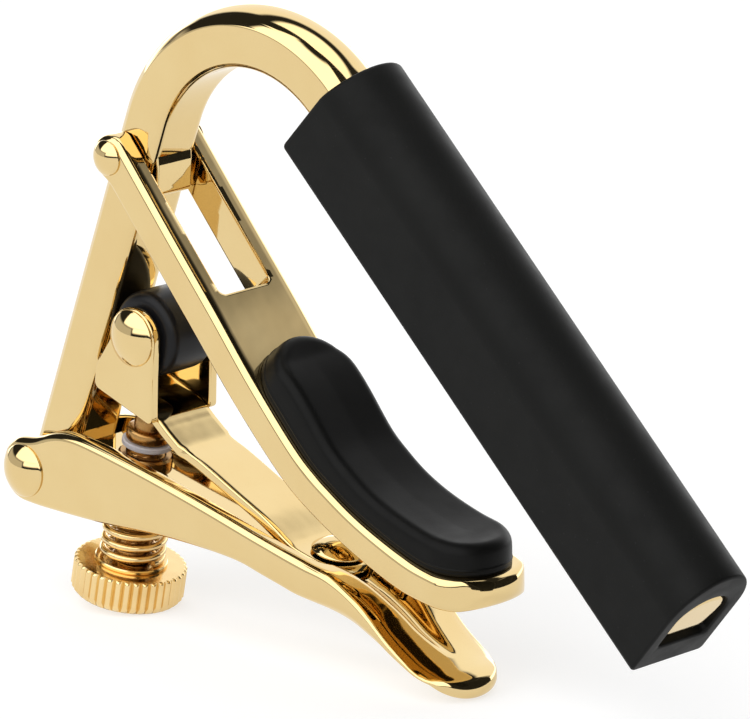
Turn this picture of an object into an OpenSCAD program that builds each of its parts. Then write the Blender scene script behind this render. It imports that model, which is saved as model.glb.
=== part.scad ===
// Guitar capo: over-centre roller capo, closed, standing on its thumb knob and lever tip.
// X runs along the neck gap, Y across the width, Z is up, and Z = 0 is the surface it stands on.
// The side outlines are drawn in a plane whose zero is the lever pivot.

/* [Main bar] */
// Width of the bar across Y
bar_w = 6.2; // [5.6:0.1:6.4]
// Thickness of the bar at its side edges
bar_edge = 4.4; // [4:0.1:5]
// Thickness of the bar at the crest of its domed outer side
bar_crest = 5.7; // [5:0.1:6]
// Lean of the back limb from the horizontal, degrees
limb_angle = 69; // [68:0.5:70]
// Slope of the string arm below the horizontal, degrees
arm_angle = 44; // [43:0.1:45]
// Inner radius of the bend
bend_r = 12; // [11.5:0.1:12.5]

/* [String sleeve] */
// Length of the rubber sleeve along its string face
sleeve_len = 59.2; // [50:0.1:62]
// Width of the sleeve across Y
sleeve_w = 9.6; // [9:0.1:11]
// Thickness of the sleeve from string face to crest
sleeve_t = 12; // [11:0.1:12.5]
// How far the end of the bar stops short of the sleeve's mouth
bar_recess = 1.1; // [1:0.1:4]

/* [Cradle] */
// Width of the cradle across Y
cradle_w = 11; // [10:0.1:12]
// Clear width between the fork arms
fork_gap = 6.5; // [6.5:0.1:7]

/* [Lever] */
// Width of the lever across its cheeks
lever_w = 10.6; // [10:0.1:12]
// Clear width between the cheeks
channel_w = 7.3; // [7.2:0.1:8]
// Height of the lever pivot above the surface
pivot_z = 12.6; // [12.6:0.1:12.6]

/* [Roller] */
// Radius of the roller
roller_r = 4.1; // [3.8:0.1:4.3]
// Clear width between the ears of the bracket
ear_gap = 6.8; // [6.6:0.1:6.9]
// Thickness of the bracket's sheet
sheet_t = 1.0; // [0.8:0.1:1.1]

/* [Adjusting screw] */
// Tilt of the screw from the vertical, degrees
screw_tilt = 12; // [11:0.5:13]
// Radius of the threaded stud
stud_r = 1.9; // [1.7:0.05:2]
// Radius of the thumb knob
knob_r = 5.45; // [5:0.05:5.6]
// Height of the thumb knob
knob_h = 3.3; // [2.8:0.1:3.6]
// Number of flutes round the thumb knob
flutes = 38; // [24:1:40]
// Radius of the spring's wire
wire_r = 0.37; // [0.3:0.01:0.4]

/* [Hidden] */
$fn = 96;
gold = "#d9b25a";
rubber = "#1c1c1e";
fit = 0.05;                      // radial clearance of a running fit
press = 0.02;                    // radial gap round a fixed pin
slack = 0.1;                     // side clearance of washers and of the roller
far = 40;                        // longer than any cut has to be
step = 8;                        // points to each stretch of a curve

// Places in the side plane, as [x, z] from the lever pivot
bend_centre = [28.4, 31.1];
cradle_pivot = [12.7, 32.8];
roller_pivot = [14.35, 15.42];
leaf_rivet_at = [36.8, -2.13];   // top of the leaf, on the rivet's axis
screw_foot = [11.25, 2.08];      // where the screw's axis leaves the top of the lever's web

limb_dir = [cos(limb_angle), sin(limb_angle)];
limb_out = [-sin(limb_angle), cos(limb_angle)];
arm_dir = [cos(arm_angle), -sin(arm_angle)];
arm_out = [sin(arm_angle), cos(arm_angle)];
limb_top = bend_centre + bend_r * limb_out;
arm_start = bend_centre + bend_r * arm_out;
limb_len = limb_dir * limb_top;
string_face = -3.14;             // the string face, measured outwards from the bar's inner face
sleeve_from = 0.74;              // gap between the bend and the sleeve
mouth_cut = 4;                   // slope of the sleeve's mouth, degrees
overlap = 0.5;                   // how far the straights run into the bend
inset = 0.04;                    // how much smaller the straights are than the bend
eye_r = 2.9;                     // round lower end of the bar
lever_eye_r = 3.2;
dome_h = bar_crest - bar_edge;

// Stop on the inner face of the bar, below the cradle's pivot
stop_outline = [[14, 32.5], [16.3, 32.5], [16, 29.4], [15.5, 28.8], [13.3, 28.8]];
stop_w = 5.2;

// Rivets
lever_pin_r = 1.2;
cradle_pin_r = 0.98;
roller_pin_r = 1.05;
leaf_pin_r = 1.2;
lever_head = [2.6, 1.2];         // radius and height of the domed heads
cradle_head = [1.7, 0.9];
roller_head = [2.75, 1.2];
leaf_head = [2.6, 1.2];
leaf_head_gap = 0.25;            // room over the leaf, so that it can bend
leaf_pin_foot = -3.3;            // lower end of the leaf's rivet
leaf_play = 0.12;                // radial room round it in the leaf
lever_washer_r = 2.9;
roller_washer_r = 2;
washer_t = (channel_w - bar_w) / 2 - slack;
roller_washer_t = 0.3;
roller_washer_y = (ear_gap - roller_washer_t - slack) / 2;
roller_len = ear_gap - 2 * roller_washer_t - 2 * slack;

// Heights along the screw's axis from its foot, upwards
web_t = 3.4;
bush_r = 2.65;
bush_top = 0.8;
bush_chamfer = 0.3;
collar_from = 1.55;
collar_to = 2.15;
collar_r = 2.55;
neck_r = 1.3;
cap_to = 3.4;
cap_r = 2.15;
cap_chamfer = 0.3;
tip_r = 1.5;
tip_to = 5.52;
knob_chamfer = 0.35;
knob_from = -(pivot_z + screw_foot[1] - (knob_r - knob_chamfer) * sin(screw_tilt)) / cos(screw_tilt);
knob_to = knob_from + knob_h;
stud_seat = 0.8;                 // height of the stud's foot above the knob's
knob_washer_r = 3.5;
knob_washer_t = 0.4;
flute_r = 0.32;
flute_out = 0.06;                // how far outside the knob's edge a flute is centred
coils = 6;
coil_r = 2.85;
spring_gap = 0.03;               // gap above and below the spring

// The crest of the sleeve's mouth is the far end in X, and the lever's eye the near end
mouth_crest = arm_start
    + (sleeve_from + sleeve_len - sleeve_t * tan(mouth_cut)) * arm_dir + (string_face + sleeve_t) * arm_out;
pivot_x = -(mouth_crest[0] - lever_eye_r) / 2;

// Cradle: its underside from the fork to the tip, and its thickness at each of those points
cradle_under = [[11.5, 31.8], [18.2, 23.9], [23.5, 17.8], [28.7, 11.8], [34.8, 5.7], [39.2, 2.7],
    [43.8, 0.3], [49.3, -1.95], [53, -2.75], [56, -3.03], [58, -3], [60.2, -2.75]];
cradle_depth = [3.7, 3.7, 3.7, 3.6, 3.4, 3.3, 3.2, 3.2, 3.1, 3, 3, 3];
cradle_end_r = 2.15;
tip_centre = 53.3;
window_end = 16.9;               // length of the fork's gap from the cradle pivot
fork_corner_r = 0.8;
fork_slope = 49;                 // slope of the fork below the horizontal, degrees

// Neck pad: its crown, from the fork to the tip; its foot follows the cradle
pad_top = [[30.4, 15.6], [32, 16.7], [34.2, 15.9], [36.1, 14.2], [38, 12.1], [39.9, 9.8], [42.1, 7.9],
    [44.8, 6.2], [47.9, 4.75], [51, 3.85], [53.6, 3.3], [55.7, 2.5], [56.9, 1.2]];
pad_lift = 0.02;                 // gap under the pad
pad_w = 9.4;
pad_from = 30.4;                 // ends of the pad
pad_to = 56.9;
pad_corner_r = 3.2;              // rounding of its corners at the fork end
pad_middle = (pad_from + pad_to) / 2 - 0.1;
pad_reach = (pad_to - pad_from) / 2;

// Lever: its top edge from the eye to the tip, and its underside back again
lever_top = [[-0.6, 3.1], [1.4, 3.45], [3.8, 4.3], [5.95, 4.6], [8.8, 4.35], [15.3, 3.15], [23.3, 1.4],
    [31.9, -0.7], [37, -1.8], [40.1, -2.4], [42.8, -3.4], [45.6, -5.1], [48.2, -7.2], [51.2, -9],
    [54, -10.1], [56.6, -10.7]];
lever_under = [[56.6, -11.4], [55.7, -12.2], [54.3, -12.6], [52.2, -12.15], [47.9, -10.4], [43.1, -8.2],
    [37, -5.65], [31.7, -4.3], [27.5, -3.45], [19.5, -3.1], [10.4, -3.4], [2.7, -3.35], [0, -3.2]];
tail_r = 3.9;
tail_centre = 52.2;
underside_r = 7;
underside_slope = 15.1;          // slope of the tail's rounded underside, degrees
underside_at = [53.8, -12.62];   // a point on its lowest line
tail_from = 36.8;                // where the tail begins
tail_edge = [[39, -lever_w / 2], [44, -4.75], [49, -4.05]];
bar_slot_to = 5.2;               // the gap round the foot of the bar ends here
recess = [5, 20];                // ends of the recess round the spring

// Leaf of the bracket: its top from the fold under the roller to its riveted end
leaf_top = [[15.9, 8.1], [17.9, 6.6], [19.7, 5.4], [22.2, 4.4], [26, 2.65], [30, 0.8], [32.8, -0.85],
    [34.2, -1.52], [36.8, -2.13], [40.4, -2.9]];
leaf_w = 6.8;
leaf_end_r = 3.3;
leaf_end_centre = 36.8;
leaf_slope = 12;                 // slope of the leaf at its rivet, degrees
ear_r = 2.9;
ear_foot = [[16.6, 8.4], [16.4, 7.3], [10.2, 9.65], [9.4, 10.1], [9.1, 10.9], [9.3, 11.6]];
floor_outline = [[10.2, 9.2], [15.6, 6.96], [16.3, 7.7], [15.9, 8.1], [10.3, 10.25], [9.7, 9.9]];

// Smooth curve through points: Catmull-Rom
function pick(p, i) = p[max(0, min(len(p) - 1, i))];
function blend(a, b, c, d, t) =
    b + t * (c - a) / 2 + t * t * (2 * a - 5 * b + 4 * c - d) / 2 + t * t * t * (3 * b - 3 * c + d - a) / 2;
function curve(p) = concat(
    [for (i = [0:len(p) - 2]) for (k = [0:step - 1])
        blend(pick(p, i - 1), p[i], p[i + 1], pick(p, i + 2), k / step)],
    [p[len(p) - 1]]);
function along(c, i) = let (d = pick(c, i + 1) - pick(c, i - 1)) d / norm(d);
function across(c, i) = let (d = along(c, i)) [-d[1], d[0]];
function reversed(c) = [for (i = [len(c) - 1:-1:0]) c[i]];
function cradle_top(lift) = let (c = curve(cradle_under), d = curve([for (t = cradle_depth) [t, 0]]))
    [for (i = [0:len(c) - 1]) c[i] + (d[i][0] + lift) * across(c, i)];
function band(c, depth) = concat(c, reversed([for (i = [0:len(c) - 1]) c[i] + depth[i] * across(c, i)]));

// Puts what is drawn from the lever pivot where the whole capo has its zero
module from_pivot() translate([pivot_x, 0, pivot_z]) children();
// A side outline, w wide across Y
module side(w) rotate([90, 0, 0]) linear_extrude(w, center = true) children();
// A round bar across Y at a place in the side plane
module cross_pin(at, r, w)
    translate([at[0], 0, at[1]]) rotate([90, 0, 0]) cylinder(r = r, h = w, center = true);
// Puts what is drawn upwards along the string arm, starting from the bend
module on_arm() translate([arm_start[0], 0, arm_start[1]]) rotate([0, 90 + arm_angle, 0]) children();
// Puts what is drawn upwards along the screw's axis, and across the leaf's rivet
module on_screw() translate([screw_foot[0], 0, screw_foot[1]]) rotate([0, screw_tilt, 0]) children();
module on_leaf_rivet()
    translate([leaf_rivet_at[0], 0, leaf_rivet_at[1]]) rotate([0, leaf_slope, 0]) children();
module disc(from, to, r) translate([0, 0, from]) cylinder(r = r, h = to - from);

// Cap of a sphere on the plane z = 0
module dome(r, h) {
    ball_r = (r * r + h * h) / (2 * h);
    intersection() {
        translate([0, 0, h - ball_r]) sphere(ball_r);
        cylinder(r = r, h = h);
    }
}

// A rivet across Y with a domed head at each end
module rivet(at, pin_r, head, grip) {
    cross_pin(at, pin_r, grip);
    for (s = [-1, 1])
        translate([at[0], s * grip / 2, at[1]]) rotate([-s * 90, 0, 0]) dome(head[0], head[1]);
}

module washer(at, y, r, bore_r, t)
    translate([at[0], y, at[1]]) rotate([90, 0, 0]) difference() {
        cylinder(r = r, h = t, center = true);
        cylinder(r = bore_r, h = far, center = true);
    }

// Cross-section of the bar: flat inner face on x = 0, domed outer side
module bar_section(less = 0) {
    half = bar_w / 2;
    dome_r = (half * half + dome_h * dome_h) / (2 * dome_h);
    intersection() {
        translate([less, less - half]) square([bar_crest, bar_w - 2 * less]);
        translate([bar_crest - dome_r, 0]) circle(dome_r - less, $fn = 256);
    }
}

module main_bar() color(gold) from_pivot() difference() {
    union() {
        translate([bend_centre[0], 0, bend_centre[1]]) rotate([90, 0, 0])
            rotate([0, 0, 90 - arm_angle]) rotate_extrude(angle = arm_angle + limb_angle, $fn = 256)
                translate([bend_r, 0]) bar_section();
        // back limb
        translate([limb_top[0], 0, limb_top[1]]) rotate([0, 270 - limb_angle, 0])
            translate([0, 0, -overlap]) linear_extrude(limb_len + overlap) bar_section(inset);
        // string arm
        on_arm() translate([0, 0, -overlap])
            linear_extrude(sleeve_from + sleeve_len - bar_recess + overlap) mirror([1, 0]) bar_section(inset);
        cross_pin([0, 0], eye_r, bar_w);
        // stop on the inner face, below the cradle's pivot
        side(stop_w) polygon(stop_outline);
    }
    cross_pin([0, 0], lever_pin_r + fit, far);
    cross_pin(cradle_pivot, cradle_pin_r + press, far);
}

// Cross-section of the sleeve: flat string face, upright sides, domed outer side
module sleeve_section() {
    half = sleeve_w / 2;
    translate([string_face, -half]) square([sleeve_t - half, sleeve_w]);
    translate([string_face + sleeve_t - half, 0]) circle(half, $fn = 256);
}

module string_sleeve() color(rubber) from_pivot() on_arm() translate([0, 0, sleeve_from])
    difference() {
        linear_extrude(sleeve_len) mirror([1, 0]) sleeve_section();
        translate([0, 0, -1]) linear_extrude(sleeve_len + 2) mirror([1, 0]) bar_section(inset);
        // both ends are cut a little off square
        for (end = [0, 1])
            translate([-string_face, 0, end * sleeve_len]) mirror([0, 0, 1 - end])
                rotate([0, -mouth_cut, 0]) translate([-far, -far / 2, 0]) cube([2 * far, far, far]);
    }

module cradle_plan() {
    translate([-far, -cradle_w / 2]) square([tip_centre + far, cradle_w]);
    translate([tip_centre, 0]) circle(cradle_w / 2);
}

module cradle() color(gold) from_pivot() difference() {
        intersection() {
            union() {
                side(cradle_w) polygon(concat(curve(cradle_under), reversed(cradle_top(0))));
                cross_pin(cradle_pivot, cradle_end_r, cradle_w);
            }
            translate([0, 0, -far]) linear_extrude(3 * far) cradle_plan();
        }
        // gap of the fork, with rounded inner corners
        translate([cradle_pivot[0], 0, cradle_pivot[1]]) rotate([0, fork_slope, 0])
            translate([-far, 0, -far / 2]) linear_extrude(far) {
                straight = far + window_end - fork_corner_r;
                inner = fork_gap / 2 - fork_corner_r;
                translate([0, -fork_gap / 2]) square([straight, fork_gap]);
                translate([0, -inner]) square([far + window_end, 2 * inner]);
                for (s = [-1, 1]) translate([straight, s * inner]) circle(fork_corner_r);
            }
        cross_pin(cradle_pivot, cradle_pin_r + fit, far);
}

module pad_plan() {
    half = pad_w / 2;
    inner = half - pad_corner_r;
    translate([pad_to - half, 0]) circle(half);
    for (s = [-1, 1]) translate([pad_from + pad_corner_r, s * inner]) circle(pad_corner_r);
    translate([pad_from, -inner]) square([pad_to - half - pad_from, 2 * inner]);
    translate([pad_from + pad_corner_r, -half]) square([pad_to - half - pad_from - pad_corner_r, pad_w]);
}

module neck_pad() color(rubber) from_pivot() intersection() {
    side(pad_w) polygon(concat(curve(pad_top),
        reversed([for (p = cradle_top(pad_lift)) if (abs(p[0] - pad_middle) < pad_reach) p])));
    translate([0, 0, -far / 2]) linear_extrude(2 * far) pad_plan();
}

module cradle_rivet() color(gold) from_pivot() rivet(cradle_pivot, cradle_pin_r, cradle_head, cradle_w);

module lever_plan() {
    front = concat([[-far, -lever_w / 2]], tail_edge, [[tail_centre, -tail_r]]);
    polygon(concat(front, [for (p = reversed(front)) [p[0], -p[1]]]));
    translate([tail_centre, 0]) circle(tail_r);
}

// Height of the top of the lever's web at x
function web_top(x) = screw_foot[1] - (x - screw_foot[0]) * tan(screw_tilt);

module lever() color(gold) from_pivot() {
    cut = web_t / cos(screw_tilt);
    difference() {
        intersection() {
            union() {
                side(lever_w) polygon(concat(curve(lever_top), curve(lever_under)));
                cross_pin([0, 0], lever_eye_r, lever_w);
            }
            translate([0, 0, -far]) linear_extrude(2 * far) lever_plan();
            // the tail's underside is round across
            union() {
                translate([underside_at[0], 0, underside_at[1]]) rotate([0, underside_slope, 0])
                    translate([0, 0, underside_r]) rotate([0, 90, 0])
                        cylinder(r = underside_r, h = far, center = true, $fn = 256);
                translate([-far, -far / 2, -far]) cube([far + tail_from, far, 2 * far]);
            }
        }
        // channel above the web, up to the seat of the leaf
        intersection() {
            side(channel_w) polygon([[bar_slot_to, web_top(bar_slot_to)], [2 * far, web_top(2 * far)],
                [2 * far, far], [bar_slot_to, far]]);
            linear_extrude(2 * far, center = true) {
                translate([0, -channel_w / 2]) square([leaf_end_centre, channel_w]);
                translate([leaf_end_centre, 0]) circle(channel_w / 2);
            }
        }
        // open between the cheeks round the foot of the bar
        translate([-far, -channel_w / 2, -far]) cube([far + bar_slot_to, channel_w, 2 * far]);
        // recess under the web, round the top of the spring
        side(channel_w) polygon([[recess[0], web_top(recess[0]) - cut], [recess[1], web_top(recess[1]) - cut],
            [recess[1], -far], [recess[0], -far]]);
        cross_pin([0, 0], lever_pin_r + press, far);
        on_screw() disc(-far, far, bush_r + press);
        on_leaf_rivet() disc(-far, far, leaf_pin_r + press);
    }
}

module lever_rivet() color(gold) from_pivot() rivet([0, 0], lever_pin_r, lever_head, lever_w);

module lever_washer_front() color(gold) from_pivot()
    washer([0, 0], -(bar_w + washer_t + slack) / 2, lever_washer_r, lever_pin_r + fit, washer_t);
module lever_washer_back() color(gold) from_pivot()
    washer([0, 0], (bar_w + washer_t + slack) / 2, lever_washer_r, lever_pin_r + fit, washer_t);

// One ear of the bracket in side view
module ear() {
    translate(roller_pivot) circle(ear_r);
    polygon(concat([roller_pivot + [-ear_r, 0.4], roller_pivot + [ear_r, -0.4]], ear_foot));
}

module roller_bracket() color(gold) from_pivot() {
    leaf = curve(leaf_top);
    difference() {
        union() {
            for (s = [-1, 1])
                translate([0, s * (ear_gap + sheet_t) / 2, 0]) side(sheet_t) ear();
            // floor between the ears
            side(leaf_w + 0.1) polygon(floor_outline);
            intersection() {
                side(leaf_w) polygon(band(leaf, [for (p = leaf) -sheet_t]));
                linear_extrude(2 * far, center = true) {
                    translate([0, -leaf_w / 2]) square([leaf_end_centre, leaf_w]);
                    translate([leaf_end_centre, 0]) circle(leaf_end_r);
                }
            }
        }
        cross_pin(roller_pivot, roller_pin_r + press, far);
        on_leaf_rivet() disc(-far, far, leaf_pin_r + leaf_play);
    }
}

module roller() color("#202022") from_pivot() difference() {
    cross_pin(roller_pivot, roller_r, roller_len);
    cross_pin(roller_pivot, roller_pin_r + fit, far);
}

module roller_rivet() color(gold) from_pivot()
    rivet(roller_pivot, roller_pin_r, roller_head, ear_gap + 2 * sheet_t);

module roller_washer_front() color(gold) from_pivot()
    washer(roller_pivot, -roller_washer_y, roller_washer_r, roller_pin_r + fit, roller_washer_t);
module roller_washer_back() color(gold) from_pivot()
    washer(roller_pivot, roller_washer_y, roller_washer_r, roller_pin_r + fit, roller_washer_t);

module leaf_rivet() color(gold) from_pivot() on_leaf_rivet() {
    disc(leaf_pin_foot, leaf_head_gap + 0.1, leaf_pin_r);
    translate([0, 0, leaf_head_gap]) dome(leaf_head[0], leaf_head[1]);
}

module thread_bush() color("#b98d3e") from_pivot() on_screw() difference() {
    union() {
        disc(-web_t, bush_top - bush_chamfer, bush_r);
        disc(bush_top - bush_chamfer, bush_top, bush_r - bush_chamfer);
    }
    disc(-far, far, stud_r + fit);
}

module adjusting_screw() color("#9a6a2c") from_pivot() on_screw() rotate_extrude() polygon(concat(
    [[0, knob_from + stud_seat], [stud_r, knob_from + stud_seat], [stud_r, collar_from],
        [neck_r, collar_from], [neck_r, collar_to], [cap_r, collar_to],
        [cap_r, cap_to - cap_chamfer], [cap_r - cap_chamfer, cap_to]],
    [for (a = [0:10:90]) [tip_r * cos(a), tip_to - tip_r + tip_r * sin(a)]]));

module tip_collar() color("#e6e2ea") from_pivot() on_screw() difference() {
    disc(collar_from, collar_to, collar_r);
    disc(-far, far, neck_r + press);
}

module thumb_knob() color(gold) from_pivot() on_screw() difference() {
    rotate_extrude() polygon([[0, knob_from], [knob_r - knob_chamfer, knob_from],
        [knob_r, knob_from + knob_chamfer], [knob_r, knob_to - knob_chamfer / 2],
        [knob_r - knob_chamfer / 2, knob_to], [0, knob_to]]);
    for (i = [0:flutes - 1])
        rotate([0, 0, i * 360 / flutes]) translate([knob_r + flute_out, 0, knob_from - 1])
            cylinder(r = flute_r, h = knob_h + 2, $fn = 24);
    disc(knob_from + stud_seat, far, stud_r + press);
}

module knob_washer() color(gold) from_pivot() on_screw() difference() {
    disc(knob_to, knob_to + knob_washer_t, knob_washer_r);
    disc(-far, far, stud_r + fit);
}

// Helical spring between the washer on the knob and the web
module screw_spring() color("#c8a050") from_pivot() on_screw() {
    low = knob_to + knob_washer_t + wire_r + spring_gap;
    high = -web_t - wire_r - spring_gap;
    rings = coils * 20;
    sides = 8;
    points = [for (i = [0:rings]) let (a = 360 * coils * i / rings, z = low + (high - low) * i / rings)
        for (k = [0:sides - 1]) let (r = coil_r + wire_r * cos(360 * k / sides))
            [r * cos(a), r * sin(a), z + wire_r * sin(360 * k / sides)]];
    walls = [for (i = [0:rings - 1]) for (k = [0:sides - 1]) let (n = (k + 1) % sides)
        [i * sides + k, (i + 1) * sides + k, (i + 1) * sides + n, i * sides + n]];
    polyhedron(points, concat([[for (k = [0:sides - 1]) k]], walls,
        [[for (k = [sides - 1:-1:0]) rings * sides + k]]));
}

main_bar();
string_sleeve();
cradle();
neck_pad();
cradle_rivet();
lever();
lever_rivet();
lever_washer_front();
lever_washer_back();
roller_bracket();
roller();
roller_rivet();
roller_washer_front();
roller_washer_back();
leaf_rivet();
thread_bush();
adjusting_screw();
tip_collar();
thumb_knob();
knob_washer();
screw_spring();
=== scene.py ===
"""Looks of the guitar capo. Shapes are in millimetres from the lever's pivot, x to the right, z up."""

import math

import bpy
import numpy as np
from mathutils import Matrix, Vector


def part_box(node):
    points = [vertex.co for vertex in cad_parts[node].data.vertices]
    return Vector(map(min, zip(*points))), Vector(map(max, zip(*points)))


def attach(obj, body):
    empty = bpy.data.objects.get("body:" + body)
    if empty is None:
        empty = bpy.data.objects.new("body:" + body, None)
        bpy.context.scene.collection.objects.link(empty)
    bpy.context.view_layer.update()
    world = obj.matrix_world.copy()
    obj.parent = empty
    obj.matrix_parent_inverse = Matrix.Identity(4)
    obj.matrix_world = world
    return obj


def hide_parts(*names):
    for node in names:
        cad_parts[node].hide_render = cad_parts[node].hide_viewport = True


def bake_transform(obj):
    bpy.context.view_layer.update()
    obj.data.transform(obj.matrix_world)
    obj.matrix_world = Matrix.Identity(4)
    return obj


MM = 0.001
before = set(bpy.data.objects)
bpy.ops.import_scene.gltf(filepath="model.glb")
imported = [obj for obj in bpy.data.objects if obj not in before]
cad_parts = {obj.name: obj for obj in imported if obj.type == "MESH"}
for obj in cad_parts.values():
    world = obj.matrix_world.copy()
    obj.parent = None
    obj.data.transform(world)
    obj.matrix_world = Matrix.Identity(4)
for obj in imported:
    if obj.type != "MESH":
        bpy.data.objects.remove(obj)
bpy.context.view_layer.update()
PIVOT = np.array(sum(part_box("lever_rivet"), Vector()) / 2)

# ---------------------------------------------------------------- places, as in the CAD part
BEND_CENTRE, BEND_R = np.array([28.4, 31.1]), 12.0
LIMB_ANGLE, ARM_ANGLE = math.radians(69), math.radians(44)
BAR_HALF, BAR_EDGE, BAR_CREST = 3.1, 4.4, 5.7
SLEEVE_FROM, SLEEVE_LEN, SLEEVE_HALF, SLEEVE_T, STRING_FACE = 0.74, 59.2, 4.8, 12.0, -3.14
MOUTH_SLOPE, BAR_RECESS = math.tan(math.radians(4)), 1.1
CRADLE_PIVOT, ROLLER_PIVOT = np.array([12.7, 32.8]), np.array([14.35, 15.42])
LEAF_RIVET, LEAF_SLOPE = np.array([36.8, -2.13]), math.radians(12)
SCREW_FOOT, SCREW_TILT = np.array([11.25, 2.08]), math.radians(12)
KNOB_FROM, KNOB_TO, KNOB_R = -13.924, -10.624, 5.45
WEB = 3.4

CRADLE_UNDER = [[11.5, 31.8], [18.2, 23.9], [23.5, 17.8], [28.7, 11.8], [34.8, 5.7], [39.2, 2.7],
                [43.8, 0.3], [49.3, -1.95], [53, -2.75], [56, -3.03], [58, -3], [60.2, -2.75]]
CRADLE_DEPTH = [3.7, 3.7, 3.7, 3.6, 3.4, 3.3, 3.2, 3.2, 3.1, 3, 3, 3]
PAD_TOP = [[30.4, 15.6], [32, 16.7], [34.2, 15.9], [36.1, 14.2], [38, 12.1], [39.9, 9.8], [42.1, 7.9],
           [44.8, 6.2], [47.9, 4.75], [51, 3.85], [53.6, 3.3], [55.7, 2.5], [56.9, 1.2]]
LEVER_TOP = [[-0.6, 3.14], [1.4, 3.45], [3.8, 4.3], [5.95, 4.6], [8.8, 4.35], [15.3, 3.15], [23.3, 1.4],
             [31.9, -0.7], [37, -1.8], [40.1, -2.4], [42.8, -3.4], [45.6, -5.1], [48.2, -7.2], [51.2, -9],
             [53.6, -10], [55.4, -10.35]]
LEVER_UNDER = [[0, -3.2], [2.7, -3.35], [10.4, -3.4], [19.5, -3.1], [27.5, -3.45], [31.7, -4.3], [37, -5.65],
               [43.1, -8.2], [47.9, -10.4], [52.2, -12.15], [54.3, -12.6], [55.4, -12.3]]
LEAF_TOP = [[9.9, 10.2], [10.3, 10.25], [13, 9.25], [15.9, 8.1], [17.9, 6.6], [19.7, 5.4], [22.2, 4.4],
            [26, 2.65], [30, 0.8], [32.8, -0.85], [34.2, -1.52], [36.8, -2.13], [39.96, -2.8]]


# ---------------------------------------------------------------- curves
def smooth_curve(points, step=10):
    """Catmull-Rom through the points, as the CAD part draws them."""
    p = np.array(points, float)
    out = []
    for i in range(len(p) - 1):
        a, b, c, d = p[max(i - 1, 0)], p[i], p[i + 1], p[min(i + 2, len(p) - 1)]
        for k in range(step):
            t = k / step
            out.append(b + t * (c - a) / 2 + t * t * (2 * a - 5 * b + 4 * c - d) / 2
                       + t ** 3 * (3 * b - 3 * c + d - a) / 2)
    return np.array(out + [p[-1]])


def arc(centre, r, start, end, count=16):
    """Points of an arc, angles in degrees."""
    a = np.radians(np.linspace(start, end, count))
    return np.array(centre) + r * np.stack([np.cos(a), np.sin(a)], 1)


def tangents(points):
    d = np.gradient(points, axis=0)
    return d / np.maximum(np.linalg.norm(d, axis=1), 1e-12)[:, None]


def resample(points, count, ease=0.0):
    """Points at equal steps along a polyline; ease > 0 crowds them towards both ends."""
    keep = np.r_[True, np.linalg.norm(np.diff(points, axis=0), axis=1) > 1e-9]
    points = points[keep]
    s = np.r_[0, np.cumsum(np.linalg.norm(np.diff(points, axis=0), axis=1))]
    t = np.linspace(0, 1, count)
    t = (1 - ease) * t + ease * (1 - np.cos(math.pi * t)) / 2
    return np.stack([np.interp(t * s[-1], s, points[:, k]) for k in range(points.shape[1])], 1)


def soften(points, passes):
    for _ in range(passes):
        points[1:-1] = points[1:-1] / 2 + (points[:-2] + points[2:]) / 4
    return points


def fall(t):
    """How far a unit fillet has dropped at a share t of its width, from the edge inwards."""
    return 1 - np.sqrt(np.clip(1 - (1 - np.clip(t, 0, 1)) ** 2, 0, 1))


# ---------------------------------------------------------------- meshes
def mesh_object(name, verts, faces):
    mesh = bpy.data.meshes.new(name)
    mesh.from_pydata((PIVOT + np.asarray(verts, float) * MM).tolist(), [], faces)
    mesh.validate()
    o = bpy.data.objects.new(name, mesh)
    bpy.context.scene.collection.objects.link(o)
    return o


def tidy_mesh(o, sharp):
    """Merges doubled points, turns faces outwards and shades smooth up to an angle."""
    import bmesh
    bm = bmesh.new()
    bm.from_mesh(o.data)
    bmesh.ops.remove_doubles(bm, verts=bm.verts, dist=2e-6)
    bmesh.ops.dissolve_degenerate(bm, edges=bm.edges, dist=1e-6)
    bmesh.ops.recalc_face_normals(bm, faces=bm.faces)
    bm.to_mesh(o.data)
    bm.free()
    o.data.shade_smooth()
    o.data.set_sharp_from_angle(angle=math.radians(sharp))


def finish_piece(o, body, material, stands_for=(), sharp=38, weighted=True):
    tidy_mesh(o, sharp)
    if weighted:
        w = o.modifiers.new("even_shading", "WEIGHTED_NORMAL")
        w.keep_sharp = True
        w.weight = 80
    o.data.materials.clear()
    o.data.materials.append(material)
    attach(o, body)
    if stands_for:
        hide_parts(*stands_for)
    return o


def loops_to_faces(loops, closed=True):
    """Quads between neighbouring loops of equal length."""
    count = len(loops[0])
    last = count if closed else count - 1
    return [(i * count + k, i * count + (k + 1) % count, (i + 1) * count + (k + 1) % count, (i + 1) * count + k)
            for i in range(len(loops) - 1) for k in range(last)]


def skin(name, loops, closed=True, cap=True):
    verts = np.concatenate(loops)
    faces = loops_to_faces(loops, closed)
    if cap:
        n = len(loops[0])
        faces += [tuple(range(n)), tuple(range(len(verts) - n, len(verts)))]
    return mesh_object(name, verts, faces)


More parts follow.
